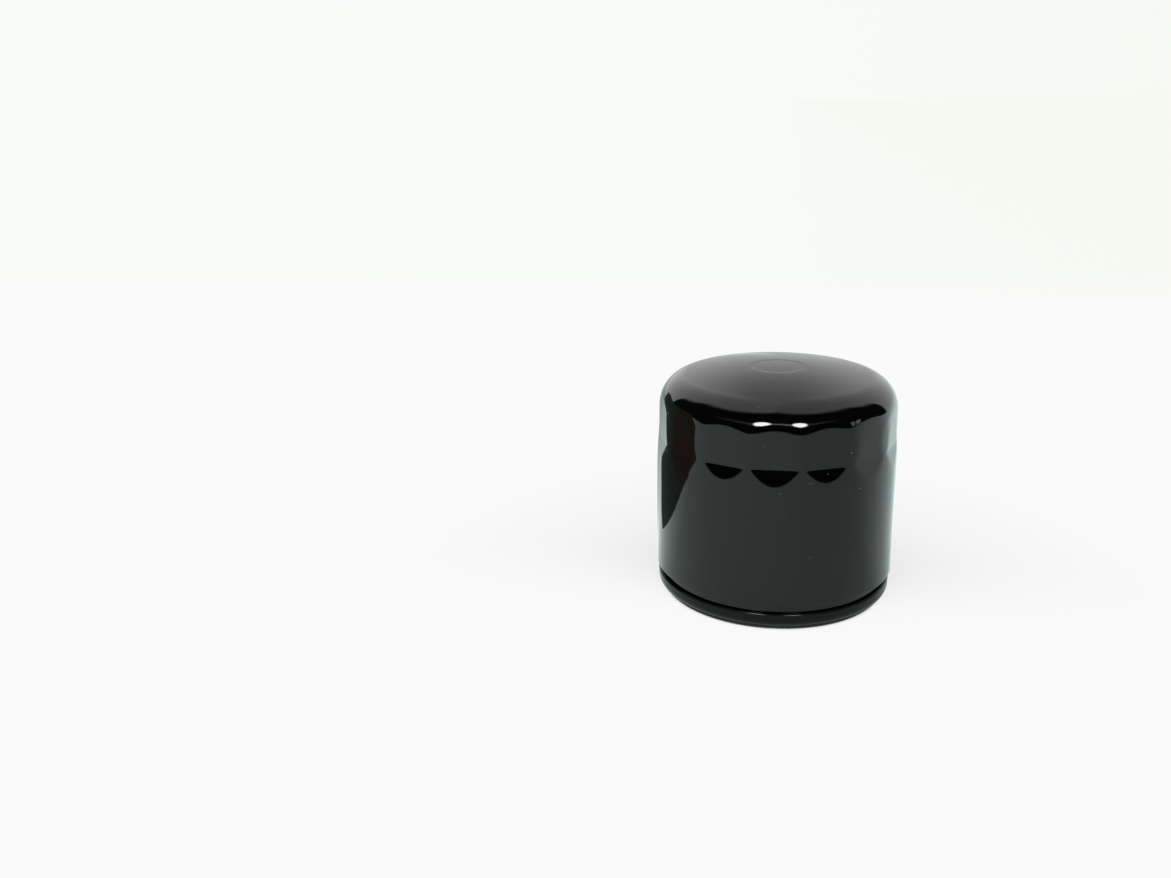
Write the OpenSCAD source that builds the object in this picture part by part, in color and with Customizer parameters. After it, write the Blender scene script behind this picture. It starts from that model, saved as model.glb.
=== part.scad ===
// Spin-on oil filter, standing on its sealing gasket.
// Z runs along the filter's axis, the origin is the centre of the gasket's lower face,
// and a wrench flat faces -Y. All lengths are in millimetres.

/* [Canister] */
// Outer diameter of the canister
can_d = 76; // [75.5:0.5:78]
// Height of the crown's apex above the gasket's face, before the dimple is pressed in
apex_z = 73.9; // [73:0.1:76]
// Thickness of the drawn steel
can_t = 0.4; // [0.35:0.05:0.45]
// Radius of the shoulder between wall and crown
shoulder_r = 10.2; // [9:0.1:11]
// Height of the crown above the top of the shoulder arc
crown_rise = 2.3; // [1.8:0.1:2.6]
// Radius of the dimple pressed into the crown
dimple_r = 9.6; // [8:0.2:12]
// Depth of the dimple
dimple_depth = 0.12; // [0.06:0.02:0.3]

/* [Wrench flats] */
// Number of flats round the canister
flat_count = 15; // [14:1:16]
// Depth of a flat's middle below the round wall
flat_depth = 1.05; // [0.9:0.05:1.2]
// Depth of the round strips between the flats below the round wall
strip_depth = 0.7; // [0.6:0.05:0.8]
// Height of the crease at the lower end of the flats
crease_z = 51.85; // [50:0.05:53]
// Height over which a flat runs out into the round wall
runout_h = 5.8; // [5:0.1:6.5]

/* [Seam] */
// Depth of the rolled seam below the round wall
seam_depth = 0.55; // [0.45:0.05:0.65]
// Lower edge of the canister's wall, above the seam's groove
wall_low_z = 8.2; // [7.6:0.1:8.8]
// Thickness of the gasket retainer's steel
lid_t = 0.38; // [0.34:0.02:0.4]

/* [Base plate] */
// Number of oil inlet holes
inlet_count = 8; // [4:1:10]
// Diameter of each inlet hole
inlet_d = 6.5; // [4:0.5:7]
// Distance from the axis to the inlet holes
inlet_pcr = 21.5; // [20:0.5:22]
// Minor radius of the M20 x 1.5 internal thread
thread_minor_r = 9.19; // [9.1:0.01:9.3]

/* [Element] */
// Number of pleats in the paper
pleat_count = 45; // [30:1:54]
// Thickness of the filter paper
paper_t = 0.6; // [0.4:0.1:0.6]
// Rows of holes in the centre tube
tube_rows = 9; // [5:1:10]
// Holes round each row of the centre tube
tube_holes = 12; // [8:2:14]

/* [Springs] */
// Wire diameter of the element spring
element_wire = 1.9; // [1.2:0.1:2.2]
// Turns of the element spring
element_turns = 2.75; // [2:0.25:3.5]
// Wire diameter of the bypass spring
bypass_wire = 1.1; // [0.8:0.1:1.2]
// Turns of the bypass spring
bypass_turns = 5.5; // [4:0.5:6]

/* [Hidden] */
$fn = 96;

can_r = can_d / 2;
flat_r = can_r - flat_depth;
strip_r = can_r - strip_depth;
seam_r = can_r - seam_depth;
flat_step = 360 / flat_count;
flat_first = -90;

// Crown and shoulder
shoulder_x = strip_r - shoulder_r;
shoulder_z = apex_z - shoulder_r - crown_rise;
apex_over = shoulder_r + crown_rise;
crown_r = (shoulder_x ^ 2 + apex_over ^ 2 - shoulder_r ^ 2) / (2 * crown_rise);
crown_z = apex_z - crown_r;
crown_join = atan2(shoulder_z - crown_z, shoulder_x);
dimple_wall = 2.4;
split_z = 12;
run_slope = runout_h / flat_depth;
taper_low_z = crease_z - runout_h;
taper_top_z = crease_z + 2.2;

// Double seam, from its outer layer to its inner one
hook_r = seam_r - lid_t - can_t / 2;
cover_hook_r = hook_r - can_t / 2 - lid_t / 2;
neck_r = cover_hook_r - lid_t / 2 - can_t / 2;
chuck_r = neck_r - can_t / 2 - lid_t / 2;
panel_r = seam_r - lid_t / 2;
seam_bend_r = (hook_r - neck_r) / 2;
seam_top_z = 5.85;
seam_low_z = 1.6;
seam_round_z = 3.9;
hook_bend_z = seam_round_z + 0.05;
hook_end_z = 5.2;
cover_hook_end_z = 4.25;
wall_bend = 0.6;
neck_bend = 0.25;

// Gasket and its channel
gasket_in = 31;
gasket_out = chuck_r - lid_t / 2 - 0.03;
gasket_h = 4.78;
gasket_round = 0.5;
gasket_chamfer = 0.25;
channel_z = 4.99;
channel_bend = 0.3;
lip_r = 30.79;
lip_end_z = 2.9;

// Base plate
plate_r = neck_r - can_t / 2 - 0.19;
plate_low = channel_z + lid_t / 2;
plate_t = 2.6;
plate_step = 1;
step_out = 29.6;
step_in = 28.4;
plate_top = plate_low + plate_step + plate_t;
hub_r = 12.2;
hub_top = 17.8;
hub_entry = 2;
hub_fillet = 1.4;

// Drain valve
collar_in = hub_r + 0.05;
collar_out = 14.2;
collar_low = 11.5;
collar_flange_r = 17.5;
cap_low_z = 18.6;
collar_flange_t = 1.6;
skirt_gap = 0.1;
skirt_t = 1;
skirt_lip_r = 27;
skirt_seat = plate_top + 0.02;
skirt_neck_top = 15.3;

// Element
cap_t = 0.4;
cap_r = 32.6;
cap_rim_h = 3.4;
cap_hole_r = 14.6;
tube_r = 16;
tube_t = 0.4;
tube_low = cap_low_z + cap_t;
tube_top = 60.6;
tube_hole_d = 3.2;
potting_t = 1.8;
potting_in = tube_r + 0.05;
potting_out = cap_r - cap_t - 0.05;
pleat_in = 16.5;
pleat_out = 31.4;
pleat_tip_r = 0.45;
pleat_valley_r = 0.35;
paper_low = tube_low + potting_t;
paper_top = tube_top - potting_t;
clip_t = 0.3;
clip_depth = 4;
clip_gap = 0.08;

// Bypass valve
seat_r = 7;
seat_bead = 0.7;
plunger_r = 9.6;
seal_t = 0.8;
plunger_t = 1.2;
seal_top = tube_top - seat_bead - 0.02;
plunger_top = seal_top - seal_t;
boss_r = 4.6;
boss_h = 2;
stem_r = 2;
stem_end_z = 42.3;
cage_t = 0.4;
cage_r = 11.8;
cage_low = 44.1;
cage_flange_r = 15.4;
cage_windows = 4;
window_w = 9;
window_h = 8;
guide_clearance = 0.1;
bypass_coil_r = 6.2;

// Element spring, a cone from the seat on the end cap up to the dimple
seat_plate_in = 16.4;
seat_plate_out = 21.4;
seat_plate_t = 0.4;
seat_plate_low = tube_top + cap_t;
coil_low_r = 19.6;
coil_top_r = 13.3;
coil_low_z = seat_plate_low + seat_plate_t;
coil_top_z = crown_z + sqrt(crown_r ^ 2 - (coil_top_r + element_wire / 2) ^ 2) - can_t - 0.1;

// ---- Outline helpers: a point is [distance from the axis, height] ----

function arc(x, z, r, from, to, steps = 8) =
    [for (i = [0:steps]) let (a = from + (to - from) * i / steps) [x + r * cos(a), z + r * sin(a)]];

function unit(v) = v / norm(v);

// A path without repeated points
function clean(path) =
    [for (i = [0:len(path) - 1]) if (i == 0 || norm(path[i] - path[i - 1]) > 0.001) path[i]];

// The mitred normal at point i of a path
function normal_at(path, i) =
    let (
        last = len(path) - 1,
        before = i == 0 ? unit(path[1] - path[0]) : unit(path[i] - path[i - 1]),
        after = i == last ? before : unit(path[i + 1] - path[i]),
        n = unit([-(before.y + after.y), before.x + after.x])
    )
    n / max(0.5, n * [-before.y, before.x]);

// The outline of a sheet of thickness t that follows a path along its middle
function sheet(path, t) = concat(
    [for (i = [0:len(path) - 1]) path[i] + normal_at(path, i) * t / 2],
    [for (i = [len(path) - 1:-1:0]) path[i] - normal_at(path, i) * t / 2]
);

// Point p turned by angle a round the axis
function turn(p, a) = [p.x * cos(a) - p.y * sin(a), p.x * sin(a) + p.y * cos(a)];

// A closed path moved sideways by d, to its left
function ring_edge(path, d) =
    let (count = len(path))
    [for (i = [0:count - 1])
        let (
            before = unit(path[i] - path[(i + count - 1) % count]),
            after = unit(path[(i + 1) % count] - path[i]),
            n = unit([-(before.y + after.y), before.x + after.x])
        )
        path[i] + n * d / max(0.5, n * [-before.y, before.x])
    ];

module turned(outline) rotate_extrude() polygon(outline);

module turned_sheet(path, t) turned(sheet(clean(path), t));

module tube(r_out, r_in, low, top) turned([[r_in, low], [r_out, low], [r_out, top], [r_in, top]]);

module ring_of(count) for (i = [0:count - 1]) rotate(i * 360 / count) children();

// ---- Canister ----

// Outline of the crown, shoulder and wall, moved inwards by d and closed on the axis
function can_skin(d) = clean(concat(
    [[0, split_z]],
    arc(0, crown_z - dimple_depth, crown_r - d, 90, acos((dimple_r - dimple_wall) / crown_r), 3),
    arc(0, crown_z, crown_r - d, acos(dimple_r / crown_r), crown_join, 6),
    arc(shoulder_x, shoulder_z, shoulder_r - d, crown_join, 0, 16),
    [[strip_r - d, taper_top_z], [can_r - d, taper_low_z], [can_r - d, split_z]]
));

// Everything outside the flats and their run-outs, moved inwards by d
module flat_cutters(d) {
    half_width = can_r * sin(flat_step / 2) + 1;
    over = 6;
    for (i = [0:flat_count - 1]) rotate(flat_first + i * flat_step) rotate([90, 0, 0])
        linear_extrude(height = 2 * half_width, center = true)
            polygon([
                [flat_r - d, apex_z + over],
                [flat_r - d, crease_z],
                [flat_r - d + over, crease_z - over * run_slope],
                [flat_r - d + over, apex_z + over]
            ]);
}

module canister() color([0.02, 0.02, 0.022]) {
    difference() {
        turned(can_skin(0));
        difference() {
            turned(can_skin(can_t));
            flat_cutters(can_t);
        }
        flat_cutters(0);
    }
    turned_sheet(concat(
        [[can_r - can_t / 2, split_z]],
        arc(can_r - wall_bend, wall_low_z + wall_bend, wall_bend - can_t / 2, 0, -90),
        arc(neck_r + can_t / 2 + neck_bend, wall_low_z - neck_bend, neck_bend + can_t / 2, 90, 180),
        arc(neck_r + seam_bend_r, hook_bend_z, seam_bend_r, 180, 360),
        [[hook_r, hook_end_z]]
    ), can_t);
}

// ---- Threaded end ----

module gasket_retainer() color([0.08, 0.08, 0.085]) {
    round_x = chuck_r + channel_bend;
    turned_sheet(concat(
        [[cover_hook_r, cover_hook_end_z]],
        arc(panel_r - seam_bend_r, seam_top_z - seam_bend_r - lid_t / 2, seam_bend_r, 180, 0),
        [for (i = [0:12]) let (a = i * 90 / 12) [
            round_x + (panel_r - round_x) * cos(a),
            seam_round_z - (seam_round_z - seam_low_z - lid_t / 2) * sin(a)
        ]],
        arc(round_x, seam_low_z + lid_t / 2 + channel_bend, channel_bend, 270, 180, 6),
        arc(chuck_r - channel_bend, channel_z - channel_bend, channel_bend, 0, 90, 6),
        arc(lip_r + channel_bend, channel_z - channel_bend, channel_bend, 90, 180, 6),
        [[lip_r, lip_end_z]]
    ), lid_t);
}

// The sealing compound that fills the fold under the canister's hook
module seam_sealant() color([0.45, 0.47, 0.42])
    turned([
        [chuck_r + lid_t / 2 + 0.06, seam_low_z + 0.55],
        [chuck_r + lid_t / 2 + 0.4, seam_low_z + 0.55],
        [chuck_r + lid_t / 2 + 0.75, seam_low_z + 1],
        [chuck_r + lid_t / 2 + 0.9, seam_low_z + 1.6],
        [chuck_r + lid_t / 2 + 0.06, seam_low_z + 1.6]
    ]);

module sealing_gasket() color([0.03, 0.03, 0.03])
    turned(concat(
        [[gasket_in + gasket_chamfer, gasket_h], [gasket_in, gasket_h - gasket_chamfer]],
        arc(gasket_in + gasket_round, gasket_round, gasket_round, 180, 270, 5),
        arc(gasket_out - gasket_round, gasket_round, gasket_round, 270, 360, 5),
        [[gasket_out, gasket_h - gasket_chamfer], [gasket_out - gasket_chamfer, gasket_h]]
    ));

module base_plate() color([0.55, 0.56, 0.57]) difference() {
    turned(clean(concat(
        [[plate_r, plate_low], [step_out, plate_low], [step_in, plate_low + plate_step]],
        arc(thread_minor_r + hub_entry, plate_low + plate_step + hub_entry, hub_entry, 270, 180),
        [[thread_minor_r, hub_top - 0.6], [thread_minor_r + 0.6, hub_top]],
        [[hub_r - 0.4, hub_top], [hub_r, hub_top - 0.4]],
        arc(hub_r + hub_fillet, plate_top + hub_fillet, hub_fillet, 180, 270, 6),
        [[step_in - 0.6, plate_top], [step_out - 0.6, plate_top - plate_step]],
        [[plate_r, plate_top - plate_step]]
    )));
    ring_of(inlet_count) translate([inlet_pcr, 0, 0]) cylinder(h = hub_top, d = inlet_d);
}

// ---- Anti-drain-back valve ----

// The part of the rubber that is clamped between the hub and the element
module drain_valve_collar() color([0.12, 0.12, 0.12])
    turned([
        [collar_in, collar_low], [collar_out, collar_low],
        [collar_out, cap_low_z - collar_flange_t], [collar_flange_r, cap_low_z - collar_flange_t],
        [collar_flange_r, cap_low_z], [collar_in, cap_low_z]
    ]);

// The part that lifts off the inlet holes when oil flows in
module drain_valve_skirt() color([0.14, 0.14, 0.14]) {
    neck_in = collar_out + skirt_gap;
    turned([
        [neck_in, skirt_neck_top - 2.7], [neck_in + skirt_t, skirt_neck_top - 2.2],
        [skirt_lip_r - 2, skirt_seat + 0.5], [skirt_lip_r - 1.8, skirt_seat], [skirt_lip_r, skirt_seat],
        [skirt_lip_r, skirt_seat + 0.8], [skirt_lip_r - 1.6, skirt_seat + 1.6],
        [neck_in + skirt_t + 0.3, skirt_neck_top - 0.8], [neck_in + skirt_t, skirt_neck_top],
        [neck_in, skirt_neck_top]
    ]);
}

// ---- Filter element ----

module lower_end_cap() color([0.62, 0.62, 0.6])
    turned_sheet(concat(
        [[cap_hole_r + cap_t / 2, tube_low + 2]],
        arc(cap_hole_r + cap_t / 2 + 0.3, cap_low_z + cap_t / 2 + 0.3, 0.3, 180, 270, 5),
        arc(cap_r - cap_t / 2 - 0.5, cap_low_z + cap_t / 2 + 0.5, 0.5, 270, 360, 5),
        [[cap_r - cap_t / 2, cap_low_z + cap_rim_h]]
    ), cap_t);

module upper_end_cap() color([0.62, 0.62, 0.6])
    turned_sheet(concat(
        [[seat_r + cap_t / 2, tube_top - seat_bead]],
        arc(seat_r + cap_t / 2 + 0.3, tube_top + cap_t / 2 - 0.3, 0.3, 180, 90, 5),
        arc(cap_r - cap_t / 2 - 0.5, tube_top + cap_t / 2 - 0.5, 0.5, 90, 0, 5),
        [[cap_r - cap_t / 2, tube_top + cap_t - cap_rim_h]]
    ), cap_t);

// The adhesive that holds the pleats in an end cap
module potting(low) color([0.2, 0.2, 0.19])
    turned([
        [potting_in, low], [potting_out - 0.5, low], [potting_out, low + 0.5],
        [potting_out, low + potting_t - 0.5], [potting_out - 0.5, low + potting_t], [potting_in, low + potting_t]
    ]);

// The middle of the folded paper: a round tip and a round valley for each pleat
function pleat_path() =
    let (
        step = 360 / pleat_count,
        tip = pleat_out - paper_t / 2 - pleat_tip_r,
        valley = pleat_in + paper_t / 2 + pleat_valley_r
    )
    [for (i = [0:pleat_count - 1]) each concat(
        [for (p = arc(tip, 0, pleat_tip_r, -90, 90, 4)) turn(p, flat_first + i * step)],
        [for (p = arc(valley, 0, pleat_valley_r, 270, 90, 2)) turn(p, flat_first + (i + 0.5) * step)]
    )];

module pleated_paper() color([0.78, 0.68, 0.45]) translate([0, 0, paper_low])
    linear_extrude(height = paper_top - paper_low) difference() {
        polygon(ring_edge(pleat_path(), -paper_t / 2));
        polygon(ring_edge(pleat_path(), paper_t / 2));
    }

// A strip folded over one pleat, which joins the two ends of the paper
module paper_seam_clip() color([0.7, 0.7, 0.7]) rotate(flat_first) {
    fold_r = pleat_tip_r + paper_t / 2 + clip_gap + clip_t / 2;
    fold_x = pleat_out - paper_t / 2 - pleat_tip_r;
    spread = 0.12;
    translate([0, 0, paper_low + 0.2]) linear_extrude(height = paper_top - paper_low - 0.4)
        polygon(sheet(concat(
            [[fold_x - clip_depth, -fold_r - spread]],
            arc(fold_x, 0, fold_r, -90, 90),
            [[fold_x - clip_depth, fold_r + spread]]
        ), clip_t));
}

module centre_tube() color([0.66, 0.66, 0.64]) difference() {
    tube(tube_r, tube_r - tube_t, tube_low, tube_top);
    pitch = (paper_top - paper_low) / tube_rows;
    for (row = [0:tube_rows - 1], i = [0:tube_holes - 1])
        rotate((i + (row % 2) / 2) * 360 / tube_holes)
            translate([tube_r - 2, 0, paper_low + (row + 0.5) * pitch]) rotate([0, 90, 0])
                cylinder(h = 3, d = tube_hole_d);
}

// ---- Bypass valve ----

module bypass_cage() color([0.7, 0.69, 0.65]) difference() {
    turned_sheet(concat(
        [[cage_flange_r, tube_top - cage_t / 2]],
        arc(cage_r + 0.3, tube_top - cage_t / 2 - 0.3, 0.3, 90, 180, 5),
        arc(cage_r - 0.8, cage_low + cage_t / 2 + 0.8, 0.8, 0, -90, 6),
        [[stem_r + guide_clearance, cage_low + cage_t / 2]]
    ), cage_t);
    ring_of(cage_windows) translate([cage_r - 2, -window_w / 2, cage_low + 4])
        cube([4, window_w, window_h]);
    rotate(45) ring_of(cage_windows) translate([cage_r - 4.6, 0, cage_low - 1]) cylinder(h = 3, r = 1.6);
}

module bypass_plunger() color([0.16, 0.12, 0.09])
    turned([
        [0, stem_end_z], [stem_r - 0.5, stem_end_z], [stem_r, stem_end_z + 0.5],
        [stem_r, plunger_top - plunger_t - boss_h], [boss_r - 0.3, plunger_top - plunger_t - boss_h],
        [boss_r, plunger_top - plunger_t - boss_h + 0.3], [boss_r, plunger_top - plunger_t],
        [plunger_r, plunger_top - plunger_t], [plunger_r, plunger_top], [0, plunger_top]
    ]);

module bypass_plunger_seal() color([0.05, 0.05, 0.05])
    tube(plunger_r - 0.3, seat_r - 2, plunger_top, seal_top);

// ---- Springs ----

// Height of a coil's middle after t turns: closed end turns, and an even pitch between them
function coil_height(t, turns, low, top, wire) =
    let (
        closed = 0.75,
        end_rise = closed * wire,
        pitch = (top - low - wire - 2 * end_rise) / (turns - 2 * closed)
    )
    low + wire / 2 + (
        t < closed ? wire * t
        : t > turns - closed ? top - low - wire - wire * (turns - t)
        : end_rise + pitch * (t - closed)
    );

module coil(low, top, r_low, r_top, wire, turns, sides = 8, steps = 20) {
    count = ceil(turns * steps);
    points = [
        for (i = [0:count], k = [0:sides - 1])
            let (
                t = turns * i / count,
                a = 360 * t,
                b = 360 * k / sides,
                r = r_low + (r_top - r_low) * t / turns + wire / 2 * cos(b)
            )
            [r * cos(a), r * sin(a), coil_height(t, turns, low, top, wire) + wire / 2 * sin(b)]
    ];
    walls = [
        for (i = [0:count - 1], k = [0:sides - 1])
            let (a = i * sides + k, b = i * sides + (k + 1) % sides, c = a + sides, d = b + sides)
            each [[a, b, d], [a, d, c]]
    ];
    ends = [
        [for (k = [sides - 1:-1:0]) k],
        [for (k = [0:sides - 1]) count * sides + k]
    ];
    polyhedron(points, concat(walls, ends));
}

module bypass_spring() color([0.75, 0.76, 0.78])
    coil(
        cage_low + cage_t + 0.02, plunger_top - plunger_t - 0.02,
        bypass_coil_r, bypass_coil_r, bypass_wire, bypass_turns, steps = 18
    );

// A pressed ring on the end cap that centres the element spring's large end
module spring_seat() color([0.6, 0.6, 0.58])
    turned_sheet(concat(
        [[seat_plate_in, seat_plate_low + 2.2]],
        arc(seat_plate_in + 0.4, seat_plate_low + seat_plate_t / 2 + 0.4, 0.4, 180, 270, 5),
        [[seat_plate_out, seat_plate_low + seat_plate_t / 2]]
    ), seat_plate_t);

module element_spring() color([0.72, 0.73, 0.75])
    coil(coil_low_z + 0.02, coil_top_z, coil_low_r, coil_top_r, element_wire, element_turns, steps = 24);

// ---- Every piece, by its node's name ----

canister();
base_plate();
gasket_retainer();
sealing_gasket();
seam_sealant();
drain_valve_collar();
drain_valve_skirt();
lower_end_cap();
potting(tube_low);  // lower_potting
pleated_paper();
paper_seam_clip();
centre_tube();
potting(paper_top);  // upper_potting
upper_end_cap();
bypass_cage();
bypass_spring();
bypass_plunger();
bypass_plunger_seal();
spring_seat();
element_spring();
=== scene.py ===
"""Looks of a spin-on oil filter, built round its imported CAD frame.

The filter stands on its gasket at the origin, and one of its wrench flats faces -Y. Lengths named in
capitals are millimetres, and MM turns them into the frame's metres.
"""

import math

import bmesh
import bpy
import numpy as np
from mathutils import Matrix, Vector


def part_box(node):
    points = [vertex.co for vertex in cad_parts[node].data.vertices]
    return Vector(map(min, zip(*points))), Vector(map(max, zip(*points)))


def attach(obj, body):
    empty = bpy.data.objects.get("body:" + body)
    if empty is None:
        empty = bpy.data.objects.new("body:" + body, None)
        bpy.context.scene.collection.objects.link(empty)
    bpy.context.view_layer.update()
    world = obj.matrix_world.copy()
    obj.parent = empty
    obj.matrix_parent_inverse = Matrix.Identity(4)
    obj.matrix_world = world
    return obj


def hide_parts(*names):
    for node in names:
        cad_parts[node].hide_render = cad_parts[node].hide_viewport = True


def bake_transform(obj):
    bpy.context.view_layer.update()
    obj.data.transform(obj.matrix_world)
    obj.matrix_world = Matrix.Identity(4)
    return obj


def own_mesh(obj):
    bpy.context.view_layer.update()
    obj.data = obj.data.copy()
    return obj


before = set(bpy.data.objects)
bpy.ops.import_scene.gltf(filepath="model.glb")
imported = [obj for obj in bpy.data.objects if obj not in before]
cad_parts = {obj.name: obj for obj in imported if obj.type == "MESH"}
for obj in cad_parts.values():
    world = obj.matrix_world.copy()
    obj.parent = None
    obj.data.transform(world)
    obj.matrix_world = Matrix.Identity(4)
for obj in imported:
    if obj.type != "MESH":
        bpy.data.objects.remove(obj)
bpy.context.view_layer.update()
MM = 0.001
TURN = 2 * math.pi


def cad_low(node):
    """Lowest point of a CAD node, in millimetres."""
    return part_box(node)[0][2] / MM


def cad_top(node):
    """Highest point of a CAD node, in millimetres."""
    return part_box(node)[1][2] / MM


# ---- Sizes, in millimetres ----

CAN_R = 38
FLAT_R = 36.95
STRIP_R = 37.3
TAPER_TOP_Z = 54
TAPER_LOW_Z = 38
FLAT_COUNT = 15
CREASE_Z = 51.6
RUNOUT_SLOPE = 0.176
APEX_Z = 73.9
SHOULDER_R = 10.2
CROWN_RISE = 2.3
DIMPLE_R = 9.6
DIMPLE_WALL = 2.4
DIMPLE_DEPTH = 0.12
CAN_T = 0.4
LID_T = 0.38

SEAM_R = 37.45
HOOK_R = SEAM_R - LID_T - CAN_T / 2
COVER_HOOK_R = HOOK_R - CAN_T / 2 - LID_T / 2
NECK_R = COVER_HOOK_R - LID_T / 2 - CAN_T / 2
CHUCK_R = NECK_R - CAN_T / 2 - LID_T / 2
PANEL_R = SEAM_R - LID_T / 2
SEAM_BEND_R = (HOOK_R - NECK_R) / 2
SEAM_TOP_Z = 5.85
SEAM_LOW_Z = 1.6
SEAM_ROUND_Z = 3.9
WALL_LOW_Z = 8.2
CHANNEL_Z = 4.99
LIP_R = 30.79

PLATE_LOW = cad_low("base_plate")
PLATE_T = 2.6
PLATE_STEP = 1
PLATE_R = NECK_R - CAN_T / 2 - 0.19
PLATE_TOP = PLATE_LOW + PLATE_STEP + PLATE_T
STEP_OUT = 29.6
STEP_IN = 28.4
HUB_R = 12.2
HUB_TOP = cad_top("base_plate")
HUB_ENTRY = 2
HUB_FILLET = 1.4
INLETS = 8
INLET_R = 3.25
INLET_PCR = 21.5
THREAD_MINOR_R = 9.19
THREAD_MAJOR_R = 10
THREAD_PITCH = 1.5

CAP_T = 0.4
CAP_R = 32.6
CAP_RIM = 3.4
TUBE_R = 16
TUBE_T = 0.4
TUBE_LOW = cad_low("centre_tube")
TUBE_TOP = cad_top("centre_tube")
POTTING_T = 1.8
PAPER_LOW = TUBE_LOW + POTTING_T
PAPER_TOP = TUBE_TOP - POTTING_T
PAPER_T = 0.6
PLEATS = 45
PLEAT_IN = 16.5
PLEAT_OUT = 31.4


# ---- Outlines: rows of (distance from the axis, height) ----


def arc(x, z, r, start, end, steps=8):
    angles = np.radians(np.linspace(start, end, steps + 1))
    return np.column_stack([x + r * np.cos(angles), z + r * np.sin(angles)])


def path(*parts):
    """Joins points and rows of points, without repeats."""
    points = np.vstack([np.atleast_2d(np.array(p, float)) for p in parts])
    keep = np.r_[True, np.linalg.norm(np.diff(points, axis=0), axis=1) > 1e-4]
    return points[keep]


def normals(points, closed=False):
    """The mitred normal to the left of a path at each of its points."""
    if closed:
        before = points - np.roll(points, 1, axis=0)
        after = np.roll(points, -1, axis=0) - points
    else:
        steps = np.diff(points, axis=0)
        before = np.vstack([steps[:1], steps])
        after = np.vstack([steps, steps[-1:]])
    before /= np.linalg.norm(before, axis=1)[:, None]
    after /= np.linalg.norm(after, axis=1)[:, None]
    left = np.column_stack([-(before + after)[:, 1], (before + after)[:, 0]])
    left /= np.linalg.norm(left, axis=1)[:, None]
    along = (left * np.column_stack([-before[:, 1], before[:, 0]])).sum(axis=1)
    return left / np.maximum(along, 0.5)[:, None]


def sheet(middle, thickness, edge=3):
    """The closed outline of a sheet along a path, with rounded cut edges."""
    left = normals(middle)
    side_a = middle + left * thickness / 2
    side_b = (middle - left * thickness / 2)[::-1]

    def cut_edge(at, frm):
        spokes = []
        for i in range(1, edge):
            a = math.pi * i / edge
            across = frm * math.cos(a) + np.array([frm[1], -frm[0]]) * math.sin(a) * 0.6
            spokes.append(at + across)
        return spokes

    end = cut_edge(middle[-1], left[-1] * thickness / 2)
    start = cut_edge(middle[0], -left[0] * thickness / 2)
    return np.vstack([side_a, end, side_b, start])


# ---- Meshes ----


def finish_mesh(name, vertices, faces, sharp=40):
    """A closed mesh object in metres, smooth apart from edges sharper than the angle."""
    mesh = bpy.data.meshes.new(name)
    mesh.from_pydata(np.asarray(vertices) * MM, [], faces)
    tidy = bmesh.new()
    tidy.from_mesh(mesh)
    bmesh.ops.remove_doubles(tidy, verts=tidy.verts, dist=1e-7)
    bmesh.ops.recalc_face_normals(tidy, faces=tidy.faces)
    tidy.to_mesh(mesh)
    tidy.free()
    mesh.shade_smooth()
    mesh.set_sharp_from_angle(angle=math.radians(sharp))
    piece = bpy.data.objects.new(name, mesh)
    bpy.context.collection.objects.link(piece)
    return piece


def grid_faces(rows, columns, closed_rows):
    """The quads between neighbouring rows of points, each row a closed ring."""
    i = np.arange(rows if closed_rows else rows - 1)[:, None]
    j = np.arange(columns)[None, :]
    i_next = (i + 1) % rows
    j_next = (j + 1) % columns
    quads = np.stack(np.broadcast_arrays(
        i * columns + j, i_next * columns + j, i_next * columns + j_next, i * columns + j_next
    ), axis=-1)
    return quads.reshape(-1, 4)


def turned(name, outline, columns=192, shape=None, sharp=40):
    """Turns an outline round the axis. shape(r, z, angle) may change the radius and height."""
    angle = np.arange(columns)[None, :] * TURN / columns
    r = np.repeat(outline[:, :1], columns, axis=1)
    z = np.repeat(outline[:, 1:], columns, axis=1)
    if shape:
        r, z = shape(r, z, angle)
    points = np.stack([r * np.cos(angle), r * np.sin(angle), z], axis=-1).reshape(-1, 3)
    on_axis = outline[0, 0] < 1e-6 and outline[-1, 0] < 1e-6
    faces = grid_faces(len(outline), columns, closed_rows=not on_axis).tolist()
    return finish_mesh(name, points, faces, sharp)


def wire(name, centres, radius, sides=16):
    """A round wire along a path, with slightly rounded ends."""
    centres = np.asarray(centres, float)
    along = np.gradient(centres, axis=0)
    along /= np.linalg.norm(along, axis=1)[:, None]
    out = centres * [1, 1, 0]
    out /= np.linalg.norm(out, axis=1)[:, None]
    out -= (out * along).sum(axis=1)[:, None] * along
    out /= np.linalg.norm(out, axis=1)[:, None]
    up = np.cross(along, out)
    angle = np.arange(sides) * TURN / sides
    ring = out[:, None, :] * np.cos(angle)[None, :, None] + up[:, None, :] * np.sin(angle)[None, :, None]
    points = centres[:, None, :] + ring * radius
    caps = []
    for end, direction in ((0, -1), (-1, 1)):
        for share, push in ((0.8, 0.12), (0, 0.2)):
            caps.append(
                centres[end] + ring[end] * radius * share + along[end] * direction * radius * push
            )
    rows = np.concatenate([[caps[1], caps[0]], points, [caps[2], caps[3]]])
    faces = grid_faces(len(rows), sides, closed_rows=False).tolist()
    return finish_mesh(name, rows.reshape(-1, 3), faces, 60)


def bake_modifiers(piece, sharp=40):
    """Replaces a piece's mesh by what its modifiers make of it."""
    graph = bpy.context.evaluated_depsgraph_get()
    mesh = bpy.data.meshes.new_from_object(piece.evaluated_get(graph))
    piece.modifiers.clear()
    piece.data = mesh
    mesh.name = piece.name
    mesh.shade_smooth()
    mesh.set_sharp_from_angle(angle=math.radians(sharp))


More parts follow.
